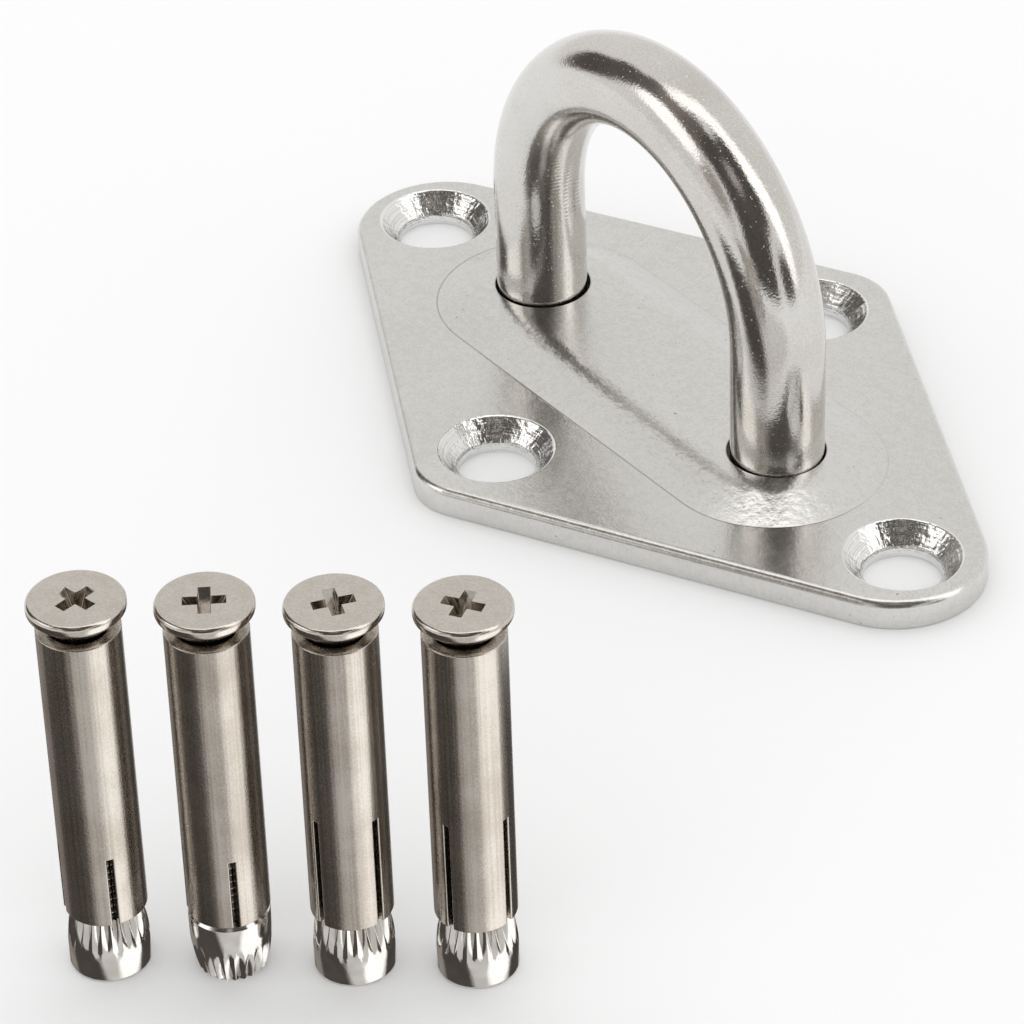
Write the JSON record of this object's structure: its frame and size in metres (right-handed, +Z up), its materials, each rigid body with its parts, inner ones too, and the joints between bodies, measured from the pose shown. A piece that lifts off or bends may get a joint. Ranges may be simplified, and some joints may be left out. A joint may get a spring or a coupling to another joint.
{
  "type": "pad eye",
  "caption": "Rhombic plate pad eye with a welded round bar loop over a pressed dome, countersunk screw holes and loose split sleeve anchors standing beside it.",
  "frame": {"origin": "centre of the plate on its underside, midway between the long-diagonal screw holes", "axes": "+X along the plate's long diagonal, +Y along its short diagonal, +Z up through the eye"},
  "size_m": [0.1172, 0.1315, 0.0438],
  "materials": {
    "plate_steel": "satin polished stainless sheet, pressed",
    "bar_steel": "polished stainless round bar",
    "weld_steel": "bead of weld, brushed clean",
    "screw_steel": "turned and polished stainless",
    "sleeve_steel": "drawn tube, satin nickel grey",
    "nut_steel": "bright polished, cold formed splines"
  },
  "bodies": {
    "pad_eye": {"base_plate": "plate_steel", "eye_bar": "bar_steel", "leg_weld_left": "weld_steel", "leg_weld_right": "weld_steel"},
    "anchor_1_sleeve": {"anchor_1_sleeve": "sleeve_steel"},
    "anchor_1_screw": {"anchor_1_screw": "screw_steel"},
    "anchor_1_cone_nut": {"anchor_1_cone_nut": "nut_steel"},
    "anchor_2_sleeve": {"anchor_2_sleeve": "sleeve_steel"},
    "anchor_2_screw": {"anchor_2_screw": "screw_steel"},
    "anchor_2_cone_nut": {"anchor_2_cone_nut": "nut_steel"},
    "anchor_3_sleeve": {"anchor_3_sleeve": "sleeve_steel"},
    "anchor_3_screw": {"anchor_3_screw": "screw_steel"},
    "anchor_3_cone_nut": {"anchor_3_cone_nut": "nut_steel"},
    "anchor_4_sleeve": {"anchor_4_sleeve": "sleeve_steel"},
    "anchor_4_screw": {"anchor_4_screw": "screw_steel"},
    "anchor_4_cone_nut": {"anchor_4_cone_nut": "nut_steel"}
  },
  "joints": [
    {"name": "anchor_1_lift", "type": "slide", "parent": "pad_eye", "child": "anchor_1_sleeve", "axis": [0, 0, 1], "range_m": [0, 0.06]},
    {"name": "anchor_1_turn", "type": "hinge", "parent": "anchor_1_sleeve", "child": "anchor_1_screw", "pos_m": [0.041, -0.096, 0.02], "axis": [0, 0, 1], "range_deg": [0, 1440]},
    {"name": "anchor_1_nut_travel", "type": "slide", "parent": "anchor_1_sleeve", "child": "anchor_1_cone_nut", "axis": [0, 0, -1], "range_m": [0, 0.0032]},
    {"name": "anchor_2_lift", "type": "slide", "parent": "pad_eye", "child": "anchor_2_sleeve", "axis": [0, 0, 1], "range_m": [0, 0.06]},
    {"name": "anchor_2_turn", "type": "hinge", "parent": "anchor_2_sleeve", "child": "anchor_2_screw", "pos_m": [0.04835, -0.08715, 0.02], "axis": [0, 0, 1], "range_deg": [0, 1440]},
    {"name": "anchor_2_nut_travel", "type": "slide", "parent": "anchor_2_sleeve", "child": "anchor_2_cone_nut", "axis": [0, 0, -1], "range_m": [0, 0.0032]},
    {"name": "anchor_3_lift", "type": "slide", "parent": "pad_eye", "child": "anchor_3_sleeve", "axis": [0, 0, 1], "range_m": [0, 0.06]},
    {"name": "anchor_3_turn", "type": "hinge", "parent": "anchor_3_sleeve", "child": "anchor_3_screw", "pos_m": [0.05569, -0.0783, 0.02], "axis": [0, 0, 1], "range_deg": [0, 1440]},
    {"name": "anchor_3_nut_travel", "type": "slide", "parent": "anchor_3_sleeve", "child": "anchor_3_cone_nut", "axis": [0, 0, -1], "range_m": [0, 0.0032]},
    {"name": "anchor_4_lift", "type": "slide", "parent": "pad_eye", "child": "anchor_4_sleeve", "axis": [0, 0, 1], "range_m": [0, 0.06]},
    {"name": "anchor_4_turn", "type": "hinge", "parent": "anchor_4_sleeve", "child": "anchor_4_screw", "pos_m": [0.06304, -0.06946, 0.02], "axis": [0, 0, 1], "range_deg": [0, 1440]},
    {"name": "anchor_4_nut_travel", "type": "slide", "parent": "anchor_4_sleeve", "child": "anchor_4_cone_nut", "axis": [0, 0, -1], "range_m": [0, 0.0032]}
  ],
  "couplings": [
    {"joint": "anchor_1_turn", "follows": "anchor_1_nut_travel", "rad_per_m": 7854},
    {"joint": "anchor_2_turn", "follows": "anchor_2_nut_travel", "rad_per_m": 7854},
    {"joint": "anchor_3_turn", "follows": "anchor_3_nut_travel", "rad_per_m": 7854},
    {"joint": "anchor_4_turn", "follows": "anchor_4_nut_travel", "rad_per_m": 7854}
  ]
}
